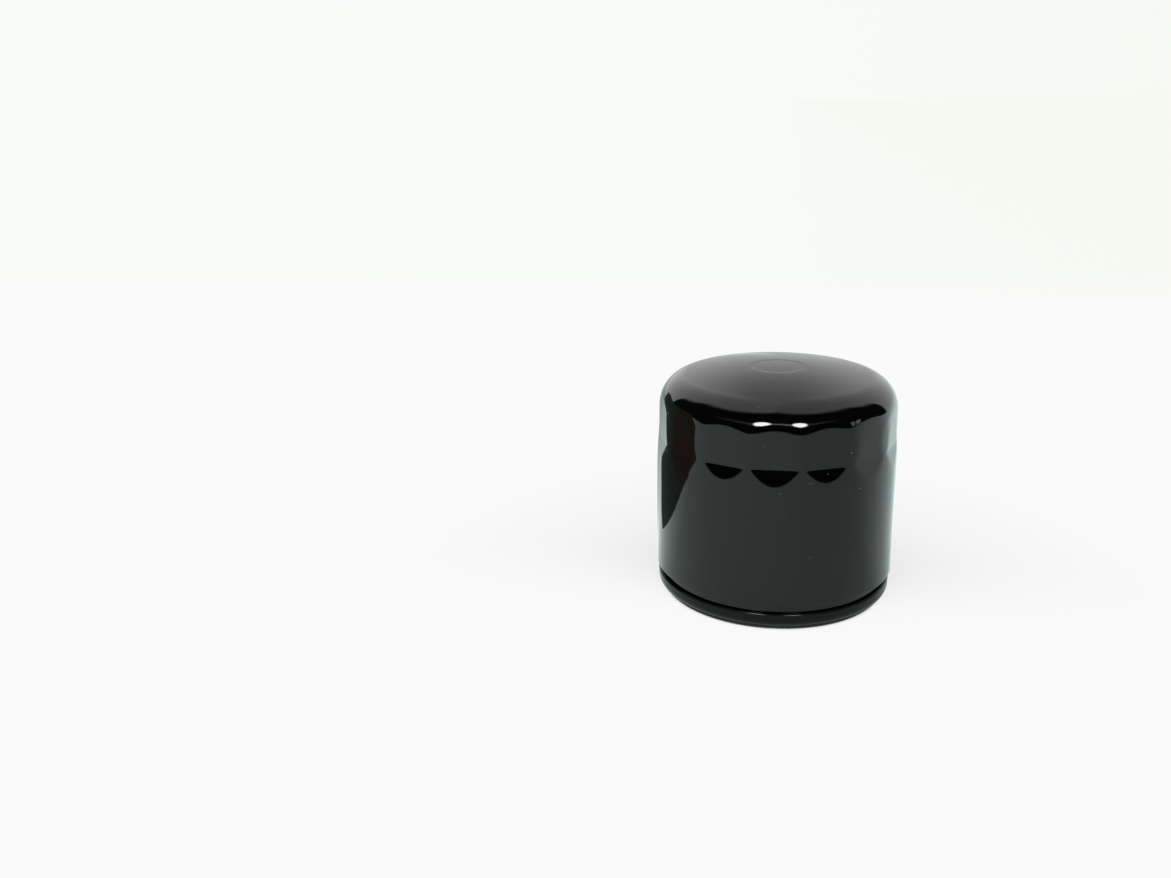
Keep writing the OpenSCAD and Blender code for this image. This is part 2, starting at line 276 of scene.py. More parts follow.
def cut_away(piece, cutters, sharp=40):
    """Subtracts closed meshes from a piece, and removes them."""
    for cutter in cutters:
        cut = piece.modifiers.new("cut", "BOOLEAN")
        cut.operation = "DIFFERENCE"
        cut.solver = "EXACT"
        cut.object = cutter
    bake_modifiers(piece, sharp)
    for cutter in cutters:
        bpy.data.objects.remove(cutter)


def place(piece, body, slot, material, *nodes):
    """Gives a piece its material and the body it moves with, and hides the CAD nodes it stands for."""
    piece.data.materials.clear()
    piece.data.materials.append(material)
    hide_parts(*nodes)
    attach(piece, body)


# ---- Shader nodes ----


class Nodes:
    """A short way to write a node tree: sockets and numbers go in, sockets come out."""

    def __init__(self, tree):
        self.tree = tree
        tree.nodes.clear()

    def add(self, kind, inputs=None, **settings):
        node = self.tree.nodes.new("ShaderNode" + kind)
        for key, value in settings.items():
            setattr(node, key, value)
        for key, value in (inputs or {}).items():
            if isinstance(value, bpy.types.NodeSocket):
                self.tree.links.new(value, node.inputs[key])
            else:
                node.inputs[key].default_value = value
        return node

    def math(self, operation, a, b=0.0, clamp=False):
        return self.add("Math", {0: a, 1: b}, operation=operation, use_clamp=clamp).outputs[0]

    def product(self, first, *others):
        for other in others:
            first = self.math("MULTIPLY", first, other)
        return first

    def total(self, first, *others):
        for other in others:
            first = self.math("ADD", first, other)
        return first

    def distance(self, value, centre=0.0):
        """How far a number is from a centre."""
        return self.math("ABSOLUTE", self.math("SUBTRACT", value, centre))

    def ease(self, value, low, high, out_low=0.0, out_high=1.0):
        """out_low to out_high as value goes from low to high, smoothly."""
        inputs = {"Value": value, "From Min": low, "From Max": high, "To Min": out_low, "To Max": out_high}
        return self.add("MapRange", inputs, interpolation_type="SMOOTHSTEP").outputs[0]

    def ramp(self, value, stops):
        node = self.add("ValToRGB", {"Fac": value})
        while len(node.color_ramp.elements) < len(stops):
            node.color_ramp.elements.new(0.5)
        for element, (at, colour) in zip(node.color_ramp.elements, stops):
            element.position = at
            grey = isinstance(colour, (int, float))
            element.color = (colour, colour, colour, 1) if grey else (*colour, 1)
        return node.outputs["Color"]

    def mix(self, factor, a, b):
        """Colour a turning into b as the factor goes from 0 to 1."""
        node = self.add("Mix", {"Factor": factor}, data_type="RGBA")
        for socket, value in ((node.inputs[6], a), (node.inputs[7], b)):
            if isinstance(value, bpy.types.NodeSocket):
                self.tree.links.new(value, socket)
            else:
                socket.default_value = (*value, 1)
        return node.outputs[2]

    def noise(self, vector, scale, detail=2.0, roughness=0.5):
        inputs = {"Vector": vector, "Scale": scale, "Detail": detail, "Roughness": roughness}
        return self.add("TexNoise", inputs).outputs["Fac"]

    def stretched(self, vector, scale):
        """Coordinates that stretch a pattern along the axes whose scale is under 1."""
        return self.add("Mapping", {"Vector": vector, "Scale": scale}).outputs[0]

    def bump(self, height, strength, distance, normal=None):
        inputs = {"Height": height, "Strength": strength, "Distance": distance}
        if normal:
            inputs["Normal"] = normal
        return self.add("Bump", inputs).outputs[0]

    def surface(self, **inputs):
        shader = self.add("BsdfPrincipled", {k.replace("_", " "): v for k, v in inputs.items()})
        self.add("OutputMaterial", {"Surface": shader.outputs[0]})
        return shader


def new_material(name):
    """A material, its nodes and the object coordinates, in metres."""
    material = bpy.data.materials.new(name)
    material.use_nodes = True
    nodes = Nodes(material.node_tree)
    return material, nodes, nodes.add("TexCoord").outputs["Object"]


def specks(nodes, where, per_metre, size, share, dimensions="3D"):
    """1 on small round specks, about per_metre cells along a metre, in a share of the cells."""
    cell = nodes.add("TexVoronoi", {"Vector": where, "Scale": per_metre}, voronoi_dimensions=dimensions)
    near = nodes.ease(cell.outputs["Distance"], size, size * 0.5)
    lot = nodes.add("SeparateColor", {0: cell.outputs["Color"]}).outputs[0]
    return nodes.product(near, nodes.math("LESS_THAN", lot, share))


def ink_mark(n, where, x, y, z):
    """Two short rows of random dots that spell nothing, on the left of the dimple."""
    row_at, row_half, row_length = 0.0016, 0.001, 0.0066
    soft = 0.0002
    left = n.math("ADD", x, 0.0022)
    along = n.total(n.product(left, 0.45), n.product(y, 0.89))
    across = n.math("SUBTRACT", n.product(left, 0.89), n.product(y, 0.45))
    from_row = n.distance(n.math("ABSOLUTE", across), row_at)
    in_row = n.ease(from_row, row_half + soft / 2, row_half - soft / 2)
    in_length = n.ease(n.math("ABSOLUTE", along), row_length + soft, row_length - soft)
    dots = specks(n, where, 1100, 0.34, 0.4, "2D")
    return n.product(dots, in_row, in_length, n.ease(z, 0.070, 0.0705))


def gloss_paint():
    """Black stoved gloss paint with faint orange peel, dust, wiped smudges and the ink mark."""
    material, n, where = new_material("gloss_black_paint")
    x, y, z = n.add("SeparateXYZ", {0: where}).outputs
    smudge = n.ease(n.noise(n.stretched(where, (1, 1, 0.35)), 70, 4, 0.6), 0.5, 0.72)
    lower_right = n.product(n.ease(z, 0.034, 0.012), n.ease(x, -0.004, 0.02))
    smudge = n.product(smudge, n.total(n.product(lower_right, 0.8), 0.15))
    dust = n.math("MAXIMUM", specks(n, where, 200, 0.05, 0.5), specks(n, where, 330, 0.055, 0.35))
    ink = ink_mark(n, where, x, y, z)
    colour = n.mix(n.product(smudge, 0.5), (0.0022, 0.0026, 0.0026), (0.008, 0.009, 0.009))
    colour = n.mix(n.product(ink, 0.8), colour, (0.26, 0.235, 0.12))
    colour = n.mix(n.product(dust, 0.75), colour, (0.62, 0.62, 0.6))
    rough = n.total(n.product(smudge, 0.22), n.product(n.noise(where, 260), 0.03), 0.03)
    rough = n.total(rough, n.product(n.math("MAXIMUM", dust, ink), 0.5))
    peel = n.noise(where, 900, 2, 0.5)
    grit = n.noise(where, 5200, 2, 0.6)
    normal = n.bump(peel, 0.16, 0.00002)
    normal = n.bump(grit, 0.1, 0.000008, normal)
    normal = n.bump(dust, 0.3, 0.00005, normal)
    n.surface(Base_Color=colour, Roughness=rough, Normal=normal, IOR=1.5)
    return material


def satin_paint():
    """The thinner, duller black paint of the seam ring."""
    material, n, where = new_material("satin_black_paint")
    mottle = n.noise(where, 420, 3, 0.6)
    scuff = n.ease(n.noise(n.stretched(where, (1, 1, 4)), 240, 4, 0.7), 0.6, 0.8)
    colour = n.mix(scuff, (0.004, 0.0045, 0.0045), (0.02, 0.021, 0.02))
    dust = specks(n, where, 260, 0.05, 0.12)
    colour = n.mix(n.product(dust, 0.5), colour, (0.4, 0.4, 0.38))
    rough = n.total(n.product(mottle, 0.06), 0.1)
    n.surface(Base_Color=colour, Roughness=rough, Normal=n.bump(mottle, 0.12, 0.00002), IOR=1.33)
    return material


def rubber(name, colour, shine):
    """Moulded rubber with a fine grain and a patchy grey bloom."""
    material, n, where = new_material(name)
    bloom = n.ease(n.noise(where, 300, 4, 0.65), 0.45, 0.8)
    grain = n.noise(where, 6500, 3, 0.6)
    base = n.mix(bloom, colour, tuple(c * 2.4 + 0.004 for c in colour))
    rough = n.total(n.product(grain, 0.2), shine)
    n.surface(Base_Color=base, Roughness=rough, Normal=n.bump(grain, 0.25, 0.00004), IOR=1.5)
    return material


def metal(name, colour, dark, shine, streaks=(1, 1, 8)):
    """Bare or plated sheet metal with rolling streaks, faint stains and fine scratches."""
    material, n, where = new_material(name)
    rolled = n.noise(n.stretched(where, streaks), 500, 5, 0.7)
    stain = n.ease(n.noise(where, 90, 4, 0.6), 0.42, 0.75)
    fine = n.noise(n.stretched(where, streaks), 3200, 3, 0.6)
    base = n.mix(stain, colour, dark)
    base = n.mix(n.product(rolled, 0.4), base, dark)
    rough = n.total(n.product(rolled, 0.22), n.product(stain, 0.1), shine)
    n.surface(Base_Color=base, Metallic=1.0, Roughness=rough, Normal=n.bump(fine, 0.15, 0.00002))
    return material


def filter_paper():
    """Resin-cured paper: matt fibres, slightly mottled, with the embossed spacing dots."""
    material, n, where = new_material("resin_filter_paper")
    fibre = n.noise(n.stretched(where, (1, 1, 0.3)), 4200, 4, 0.7)
    mottle = n.noise(where, 160, 4, 0.6)
    colour = n.mix(n.ease(mottle, 0.3, 0.75), (0.66, 0.5, 0.22), (0.5, 0.34, 0.13))
    colour = n.mix(n.product(fibre, 0.35), colour, (0.78, 0.66, 0.4))
    emboss = n.add("TexVoronoi", {"Vector": where, "Scale": 420.0, "Randomness": 0.0})
    normal = n.bump(n.ease(emboss.outputs["Distance"], 0.2, 0.45), 0.3, 0.0001)
    normal = n.bump(fibre, 0.5, 0.00006, normal)
    n.surface(Base_Color=colour, Roughness=0.86, Normal=normal, IOR=1.45)
    return material


def plastic(name, colour, light, rough, scale=700):
    """A cured or moulded plastic with a fine mottle."""
    material, n, where = new_material(name)
    mottle = n.noise(where, scale, 4, 0.6)
    base = n.mix(n.ease(mottle, 0.35, 0.7), colour, light)
    roughness = n.total(n.product(mottle, 0.2), rough)
    n.surface(Base_Color=base, Roughness=roughness, Normal=n.bump(mottle, 0.2, 0.00005), IOR=1.5)
    return material


PAINT = gloss_paint()
RETAINER_PAINT = satin_paint()
GASKET_RUBBER = rubber("gasket_rubber", (0.006, 0.006, 0.0062), 0.42)
VALVE_RUBBER = rubber("valve_rubber", (0.011, 0.011, 0.0115), 0.34)
SEAL_RUBBER = rubber("seal_rubber", (0.009, 0.009, 0.009), 0.4)
PLATE_STEEL = metal("oiled_plate_steel", (0.5, 0.5, 0.51), (0.24, 0.23, 0.22), 0.22)
TIN_PLATE = metal("tin_plate", (0.72, 0.72, 0.7), (0.5, 0.5, 0.48), 0.16)
CLIP_STEEL = metal("clip_steel", (0.68, 0.68, 0.68), (0.4, 0.4, 0.4), 0.2)
TUBE_STEEL = metal("tube_steel", (0.66, 0.66, 0.65), (0.42, 0.41, 0.4), 0.2)
CAGE_STEEL = metal("zinc_plated_cage", (0.68, 0.66, 0.58), (0.46, 0.42, 0.33), 0.2)
SPRING_STEEL = metal("spring_wire", (0.42, 0.42, 0.43), (0.2, 0.19, 0.18), 0.18, (1, 1, 1))
SEAT_STEEL = metal("seat_steel", (0.64, 0.64, 0.62), (0.4, 0.4, 0.38), 0.22)
SEALANT = plastic("seam_compound", (0.2, 0.22, 0.19), (0.32, 0.34, 0.29), 0.55)
PLASTISOL = plastic("plastisol", (0.035, 0.036, 0.034), (0.07, 0.07, 0.066), 0.38)
PHENOLIC = plastic("phenolic", (0.05, 0.022, 0.012), (0.1, 0.045, 0.022), 0.3)


# ---- Canister ----


def soft_min(a, b, width):
    """The smaller of two lengths, with the corner between them rounded over that width."""
    low = np.minimum(a, b)
    return low - width * np.log(np.exp(-(a - low) / width) + np.exp(-(b - low) / width))


def soft_ramp(x, width):
    """0 for x below 0 and x above it, with a bend of that width between."""
    return np.maximum(x, 0) + width * np.log1p(np.exp(-np.abs(x) / width))


def flats_radius(angle, z):
    """Radius of the surface that the fifteen flats and their run-outs make together."""
    step = TURN / FLAT_COUNT
    from_middle = (angle + TURN / 4 + step / 2) % step - step / 2
    rise = FLAT_R + RUNOUT_SLOPE * soft_ramp(CREASE_Z - z, 0.12)
    return rise / np.cos(from_middle)


def canister():
    """The painted can. Its skin is turned first, and then pressed in to the flats."""
    shoulder_x = STRIP_R - SHOULDER_R
    shoulder_z = APEX_Z - SHOULDER_R - CROWN_RISE
    over = SHOULDER_R + CROWN_RISE
    crown_r = (shoulder_x**2 + over**2 - SHOULDER_R**2) / (2 * CROWN_RISE)
    crown_z = APEX_Z - crown_r
    join = math.degrees(math.atan2(shoulder_z - crown_z, shoulder_x))
    split_z = 12

    def skin(d, fine):
        """The crown, shoulder and wall from the axis downwards, moved inwards by d."""
        dimple_r = np.linspace(0, DIMPLE_R, 25 if fine else 9)
        rise = np.clip((dimple_r - DIMPLE_R + DIMPLE_WALL) / DIMPLE_WALL, 0, 1)
        sunk = DIMPLE_DEPTH * (1 - rise * rise * (3 - 2 * rise))
        dimple = np.column_stack([dimple_r, crown_z + np.sqrt((crown_r - d)**2 - dimple_r**2) - sunk])
        crown_start = math.degrees(math.acos(DIMPLE_R / crown_r))
        crown = arc(0, crown_z, crown_r - d, crown_start, join, 16 if fine else 6)
        bend = arc(shoulder_x, shoulder_z, SHOULDER_R - d, join, 0, 46 if fine else 14)
        heights = np.concatenate([
            np.linspace(shoulder_z, 54, 14 if fine else 3)[1:],
            np.linspace(54, CREASE_Z + 0.45, 8 if fine else 3)[1:],
            np.linspace(CREASE_Z + 0.45, CREASE_Z - 0.45, 9 if fine else 3)[1:],
            np.linspace(CREASE_Z - 0.45, 44, 24 if fine else 5)[1:],
            np.linspace(44, TAPER_LOW_Z, 8 if fine else 3)[1:],
            np.linspace(TAPER_LOW_Z, split_z, 5 if fine else 2)[1:],
        ])
        below = soft_ramp(TAPER_TOP_Z - heights, 1.1) / (TAPER_TOP_Z - TAPER_LOW_Z)
        strip = CAN_R - (CAN_R - STRIP_R) * np.clip(1 - below, 0, 1) ** 2.4
        return path(dimple, crown, bend, np.column_stack([strip - d, heights]))

    wall_bend = 0.6
    neck_bend = 0.25
    lower = path(
        [CAN_R - CAN_T / 2, split_z],
        arc(CAN_R - wall_bend, WALL_LOW_Z + wall_bend, wall_bend - CAN_T / 2, 0, -90),
        arc(NECK_R + CAN_T / 2 + neck_bend, WALL_LOW_Z - neck_bend, neck_bend + CAN_T / 2, 90, 180, 6),
        arc(NECK_R + SEAM_BEND_R, SEAM_ROUND_Z + 0.05, SEAM_BEND_R, 180, 360, 8),
        [HOOK_R, 5.2],
    )
    lower = sheet(lower, CAN_T, edge=2)[:-1]
    outer = skin(0, True)
    inner = skin(CAN_T, False)
    outline = np.vstack([outer[:-1], lower, inner[::-1][1:]])
    wall_in = np.zeros(len(outline))
    wall_in[len(outer) - 1 + len(lower):] = CAN_T

    def pressed(r, z, angle):
        """Keeps the crown, and rounds the flats' edges more at the shoulder and the run-outs."""
        flats = flats_radius(angle, z) - wall_in[:, None]
        reached = (z > 30) & (r > 25)
        blend = 0.06 + 0.14 * np.clip((z - 58) / 3, 0, 1) + 0.03 * np.clip((50 - z) / 3, 0, 1)
        return np.where(reached, soft_min(r, flats, blend), r), z

    return turned("canister_shell", outline, 360, pressed, sharp=60)


place(canister(), "housing", "black_paint", PAINT, "canister")


# ---- Threaded end ----


def gasket_retainer():
    """The ring that is rolled into the seam and holds the gasket in its channel."""
    bend = 0.3
    round_x = CHUCK_R + bend
    quarter = np.radians(np.linspace(0, 90, 25))
    belly = np.column_stack([
        round_x + (PANEL_R - round_x) * np.cos(quarter),
        SEAM_ROUND_Z - (SEAM_ROUND_Z - SEAM_LOW_Z - LID_T / 2) * np.sin(quarter),
    ])
    middle = path(
        [COVER_HOOK_R, 4.25],
        arc(PANEL_R - SEAM_BEND_R, SEAM_TOP_Z - SEAM_BEND_R - LID_T / 2, SEAM_BEND_R, 180, 0, 14),
        belly,
        arc(round_x, SEAM_LOW_Z + LID_T / 2 + bend, bend, 270, 180, 6),
        arc(CHUCK_R - bend, CHANNEL_Z - bend, bend, 0, 90, 6),
        arc(LIP_R + bend, CHANNEL_Z - bend, bend, 90, 180, 6),
        [LIP_R, 2.9],
    )
    return turned("gasket_retainer_ring", sheet(middle, LID_T, edge=4), 288)


def sealing_gasket():
    """The rubber ring, with slightly pulled-in sides and a face that dips to the plane it stands on."""
    inner = 31
    outer = CHUCK_R - LID_T / 2 - 0.03
    top = 4.78
    corner = 0.5
    sides = 0.12
    face = np.linspace(inner + corner, outer - corner, 9)
    middle = (inner + outer) / 2
    half = (outer - inner) / 2
    crown = 0.1 * ((face - middle) / half) ** 2
    outline = path(
        [inner + 0.25, top], [inner + 0.05, top - 0.2],
        [inner + sides, top / 2],
        arc(inner + corner, corner + crown[0], corner, 180, 268, 6),
        np.column_stack([face, crown]),
        arc(outer - corner, corner + crown[-1], corner, 272, 360, 6),
        [outer - sides, top / 2],
        [outer - 0.05, top - 0.2], [outer - 0.25, top],
    )
    return turned("sealing_gasket_ring", outline, 240)


def seam_sealant():
    """An uneven bead of compound in the fold of the seam."""
    x = CHUCK_R + LID_T / 2 + 0.06
    z = SEAM_LOW_Z + 0.55
    outline = path(
        [x, z], [x + 0.2, z - 0.02], [x + 0.4, z + 0.06], [x + 0.6, z + 0.25],
        [x + 0.7, z + 0.5], [x + 0.82, z + 0.8], [x + 0.8, z + 1.05], [x + 0.4, z + 1.03], [x, z + 1.05],
    )

    def beaded(r, z_in, angle):
        wave = 0.03 * np.sin(angle * 23) * np.sin(angle * 7 + 1)
        return np.where(r > x + 0.1, r + wave - 0.03, r), z_in

    return turned("seam_sealant_bead", outline, 240, beaded)


def base_plate():
    """The plate, with its threaded hub, stepped rim and chamfered inlet holes."""
    entry = arc(THREAD_MINOR_R + HUB_ENTRY, PLATE_LOW + PLATE_STEP + HUB_ENTRY, HUB_ENTRY, 270, 180, 12)
    bore = np.linspace(entry[-1, 1], HUB_TOP - 0.6, 82)[1:]
    outline = path(
        [PLATE_R - 0.3, PLATE_LOW], [STEP_OUT + 0.3, PLATE_LOW], [STEP_OUT, PLATE_LOW + 0.08],
        [STEP_IN, PLATE_LOW + PLATE_STEP - 0.08], [STEP_IN - 0.3, PLATE_LOW + PLATE_STEP],
        entry,
        np.column_stack([np.full(len(bore), THREAD_MINOR_R), bore]),
        [THREAD_MINOR_R + 0.6, HUB_TOP],
        [HUB_R - 0.4, HUB_TOP], [HUB_R - 0.12, HUB_TOP - 0.12], [HUB_R, HUB_TOP - 0.4],
        arc(HUB_R + HUB_FILLET, PLATE_TOP + HUB_FILLET, HUB_FILLET, 180, 270, 10),
        [STEP_IN - 0.9, PLATE_TOP], [STEP_IN - 0.6, PLATE_TOP - 0.08],
        [STEP_OUT - 0.6, PLATE_TOP - PLATE_STEP + 0.08], [STEP_OUT - 0.3, PLATE_TOP - PLATE_STEP],
        [PLATE_R - 0.3, PLATE_TOP - PLATE_STEP], [PLATE_R, PLATE_TOP - PLATE_STEP - 0.3],
        [PLATE_R, PLATE_LOW + 0.3],
    )

    def threaded(r, z, angle):
        turn = (z / THREAD_PITCH - angle / TURN) % 1
        flank = np.clip((0.5 - np.abs(turn - 0.5)) * 2.6 - 0.3, 0, 1)
        depth = (THREAD_MAJOR_R - THREAD_MINOR_R) * flank
        inside = (r < THREAD_MINOR_R + 0.01) & (z > entry[-1, 1]) & (z < HUB_TOP - 0.4)
        ends = np.clip((z - entry[-1, 1]) / 0.8, 0, 1)
        return np.where(inside, r + depth * ends, r), z

    plate = turned("threaded_base_plate", outline, 288, threaded)
    low = PLATE_LOW + PLATE_STEP
    spool = path(
        [0, low - 1], [INLET_R + 1, low - 1],
        [INLET_R + 0.25, low - 0.001], [INLET_R, low + 0.25],
        [INLET_R, PLATE_TOP - 0.2], [INLET_R + 0.2, PLATE_TOP],
        [INLET_R + 1, PLATE_TOP + 0.8], [0, PLATE_TOP + 0.8],
    )
    cutters = []
    for i in range(INLETS):
        cutter = turned("inlet_cutter", spool, 48)
        a = TURN * i / INLETS
        at = Vector((math.cos(a), math.sin(a), 0)) * INLET_PCR * MM
        cutter.matrix_world = Matrix.Translation(at)
        cutters.append(cutter)
    bpy.context.view_layer.update()
    cut_away(plate, cutters)
    return plate


place(gasket_retainer(), "housing", "retainer_paint", RETAINER_PAINT, "gasket_retainer")
place(sealing_gasket(), "housing", "gasket_rubber", GASKET_RUBBER, "sealing_gasket")
place(seam_sealant(), "housing", "sealant", SEALANT, "seam_sealant")
place(base_plate(), "housing", "plate_steel", PLATE_STEEL, "base_plate")


# ---- Anti-drain-back valve ----


def drain_valve():
    """One rubber moulding: the clamped collar, and the skirt that bends up when oil flows in."""
    collar_in = HUB_R + 0.05
    top = cad_top("drain_valve_collar")
    low = cad_low("drain_valve_collar")
    seat = cad_low("drain_valve_skirt")
    lip_r = 27
    outline = path(
        [collar_in, low + 0.2], [collar_in + 0.2, low], [13.9, low], [14.2, low + 0.25],
        arc(14.75, low + 1.35, 0.55, 190, 250, 4),
        [15.6, low + 0.35], [18.5, seat + 1.95], [22, seat + 1.15], [24.6, seat + 0.58],
        arc(25.5, seat + 0.4, 0.4, 200, 270, 5),
        arc(lip_r - 0.25, seat + 0.25, 0.25, 270, 360, 4),
        arc(lip_r - 0.25, seat + 0.6, 0.25, 0, 80, 4),
        [25.4, seat + 1.6], [22.5, seat + 2.5], [19, seat + 3.7], [16.6, seat + 5],
        arc(15.4, seat + 6.1, 0.7, 330, 400, 5),
        [15.2, top - 1.9],
        arc(15.5, top - 1.85, 0.25, 180, 90, 3),
        [17.2, top - 1.6], [17.45, top - 1.4], [17.45, top - 0.2], [17.2, top], [collar_in + 0.2, top],
        [collar_in, top - 0.2],
    )
    return turned("drain_valve_moulding", outline, 192)


drain = drain_valve()
drain.data.materials.append(VALVE_RUBBER)
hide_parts("drain_valve_collar", "drain_valve_skirt")
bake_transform(drain)


# ---- Filter element ----


def end_cap(name, face_z, up, hole_r, hole_rim):
    """A pressed cap: a flat with a shallow rib, a rounded rim round the pleats and a turned-in edge."""
    s = 1 if up else -1
    mid = face_z + s * CAP_T / 2
    rib = 25.5
    rise = 0.14
    bump_r = np.linspace(rib - 1.6, rib + 1.6, 11)
    bump_z = mid + s * rise * (0.5 + 0.5 * np.cos((bump_r - rib) / 1.6 * math.pi))
    rim_x = CAP_R - CAP_T / 2 - 0.5
    middle = path(
        [hole_r + CAP_T / 2, face_z + s * hole_rim],
        arc(hole_r + CAP_T / 2 + 0.3, mid + s * 0.3, 0.3, 180, 180 + s * 90, 6),
        np.column_stack([bump_r, bump_z]),
        arc(rim_x, mid + s * 0.5, 0.5, -s * 90, 0, 8),
        [CAP_R - CAP_T / 2, face_z + s * CAP_RIM],
    )
    return turned(name, sheet(middle, CAP_T, edge=3), 240)


def potting(name, low, paper_above):
    """Adhesive with a meniscus that climbs between the pleats."""
    inner = TUBE_R + 0.05
    outer = CAP_R - CAP_T - 0.05
    high = low + POTTING_T
    r = np.linspace(inner + 0.3, outer - 0.3, 22)
    pulled_z = high if paper_above else low
    outline = path(
        [inner, low + 0.2], [inner, high - 0.2],
        np.column_stack([r, np.full(22, high)]),
        [outer, high - 0.2], [outer, low + 0.2],
        np.column_stack([r[::-1], np.full(22, low)]),
    )

    def meniscus(radius, z, angle):
        inside = (radius > inner + 0.2) & (radius < outer - 0.2) & (np.abs(z - pulled_z) < 0.01)
        s = -1 if paper_above else 1
        pull = 0.16 * (0.5 - 0.5 * np.cos(angle * PLEATS)) * np.clip((radius - inner) / 4, 0, 1)
        pull = pull + 0.05 * np.sin(angle * 11 + radius) * np.sin(radius * 1.3)
        return radius, np.where(inside, z + s * np.clip(pull, 0, 0.3), z)

    return turned(name, outline, PLEATS * 8, meniscus)


def pleat_line():
    """The middle of the folded paper, with the small unevenness of real pleats."""
    rows = []
    step = TURN / PLEATS
    for i in range(PLEATS):
        lean = 0.05 * math.sin(i * 2.4) + 0.04 * math.sin(i * 5.1 + 1)
        tip_r = PLEAT_OUT - PAPER_T / 2 - 0.45 - 0.18 * (1 + math.sin(i * 3.7))
        for centre, radius, start, end, steps, at in (
            (tip_r, 0.45, -90, 90, 8, i + lean),
            (PLEAT_IN + PAPER_T / 2 + 0.35, 0.35, 270, 90, 6, i + 0.5),
        ):
            a = at * step - TURN / 4
            p = arc(centre, 0, radius, start, end, steps)
            rows.append(np.column_stack([
                p[:, 0] * math.cos(a) - p[:, 1] * math.sin(a),
                p[:, 0] * math.sin(a) + p[:, 1] * math.cos(a),
            ]))
    return path(*rows)


def pleated_paper():
    """The paper: one closed ribbon, with its two faces joined at the top and bottom."""
    line = pleat_line()
    left = normals(line, closed=True)
    heights = np.linspace(PAPER_LOW, PAPER_TOP, 9)
    count = len(line)
    rings = []
    for side in (-1, 1):
        for z in heights[::side]:
            edge = line + side * left * PAPER_T / 2
            rings.append(np.column_stack([edge, np.full(count, z)]))
    points = np.vstack(rings)
    faces = grid_faces(len(rings), count, closed_rows=True).tolist()
    return finish_mesh("pleated_filter_paper", points, faces, 50)


def seam_clip():
    """A crimped strip over one pleat, which joins the paper's two ends."""
    t = 0.3
    fold_x = PLEAT_OUT - PAPER_T / 2 - 0.45
    fold_r = 0.45 + PAPER_T / 2 + 0.08 + t / 2
    middle = path(
        [fold_x - 4, -fold_r - 0.12],
        arc(fold_x, 0, fold_r, -90, 90, 12),
        [fold_x - 4, fold_r + 0.12],
    )
    outline = sheet(middle, t, edge=4)
    heights = np.linspace(PAPER_LOW + 0.2, PAPER_TOP - 0.2, 61)
    rings = []
    for i, z in enumerate(heights):
        crimp = 0.035 * (0.5 - 0.5 * math.cos(i * math.pi / 3))
        p = outline * [1, 1 + crimp]
        rings.append(np.column_stack([p[:, 1], -p[:, 0], np.full(len(p), z)]))
    points = np.vstack(rings)
    faces = grid_faces(len(rings), len(outline), closed_rows=False).tolist()
    faces.append(list(range(len(outline))))
    faces.append(list(range(len(points) - len(outline), len(points))))
    return finish_mesh("paper_seam_clip_strip", points, faces, 50)


def perforated_tube():
    """The centre tube, its rows of holes half a step apart from one to the next."""
    rows, holes, hole_r = 9, 12, 1.6
    pitch = (PAPER_TOP - PAPER_LOW) / rows
    middle_r = TUBE_R - TUBE_T / 2
    half_w = math.pi * middle_r / holes
    half_h = pitch / 2
    across, upright = 12, 6
    edge = [(-half_w + 2 * half_w * i / across, -half_h) for i in range(across)]
    edge += [(half_w, -half_h + 2 * half_h * i / upright) for i in range(upright)]
    edge += [(half_w - 2 * half_w * i / across, half_h) for i in range(across)]
    edge += [(-half_w, half_h - 2 * half_h * i / upright) for i in range(upright)]
    edge = np.array(edge)
    ray = edge / np.linalg.norm(edge, axis=1)[:, None]
    circle = ray * hole_r
    lips = np.stack([edge, edge * 0.5 + circle * 0.5, ray * (hole_r + 0.22), circle])
    dent = np.array([0, 0, 0, -0.1])
    count = len(edge)
    points, faces = [], []
    cell_faces = grid_faces(len(lips), count, closed_rows=False)
    for row in range(rows):
        for hole in range(holes):
            a0 = (hole + (row % 2) / 2) * TURN / holes
            z0 = PAPER_LOW + (row + 0.5) * pitch
            a = a0 + lips[..., 0] / middle_r
            r = (middle_r + dent)[:, None] * np.ones_like(a)
            faces.append(cell_faces + sum(len(p) for p in points))
            cell = np.stack([r * np.cos(a), r * np.sin(a), z0 + lips[..., 1]], axis=-1)
            points.append(cell.reshape(-1, 3))
    for low, high in ((TUBE_LOW, PAPER_LOW), (PAPER_TOP, TUBE_TOP)):
        a = np.arange(holes * across) * TURN / (holes * across) + half_w / middle_r
        x, y = middle_r * np.cos(a), middle_r * np.sin(a)
        band = [np.column_stack([x, y, np.full(len(a), z)]) for z in (low, high)]
        faces.append(grid_faces(2, len(a), closed_rows=False) + sum(len(p) for p in points))
        points.append(np.vstack(band))
    tube = finish_mesh("perforated_centre_tube", np.vstack(points), np.vstack(faces).tolist(), 40)
    wall = tube.modifiers.new("wall", "SOLIDIFY")
    wall.thickness = TUBE_T * MM
    wall.offset = 0
    bake_modifiers(tube, 40)
    return tube


place(end_cap("lower_end_cap_pressing", cad_low("lower_end_cap"), True, 14.6, 2.4),
      "housing", "tin_plate", TIN_PLATE, "lower_end_cap")
place(end_cap("upper_end_cap_pressing", cad_top("upper_end_cap"), False, 7, 1.1),
      "housing", "tin_plate", TIN_PLATE, "upper_end_cap")
place(potting("lower_potting_ring", TUBE_LOW, True), "housing", "plastisol", PLASTISOL, "lower_potting")
place(potting("upper_potting_ring", PAPER_TOP, False), "housing", "plastisol", PLASTISOL, "upper_potting")
place(pleated_paper(), "housing", "filter_paper", filter_paper(), "pleated_paper")
place(seam_clip(), "housing", "clip_steel", CLIP_STEEL, "paper_seam_clip")
place(perforated_tube(), "housing", "tube_steel", TUBE_STEEL, "centre_tube")


# ---- Bypass valve ----

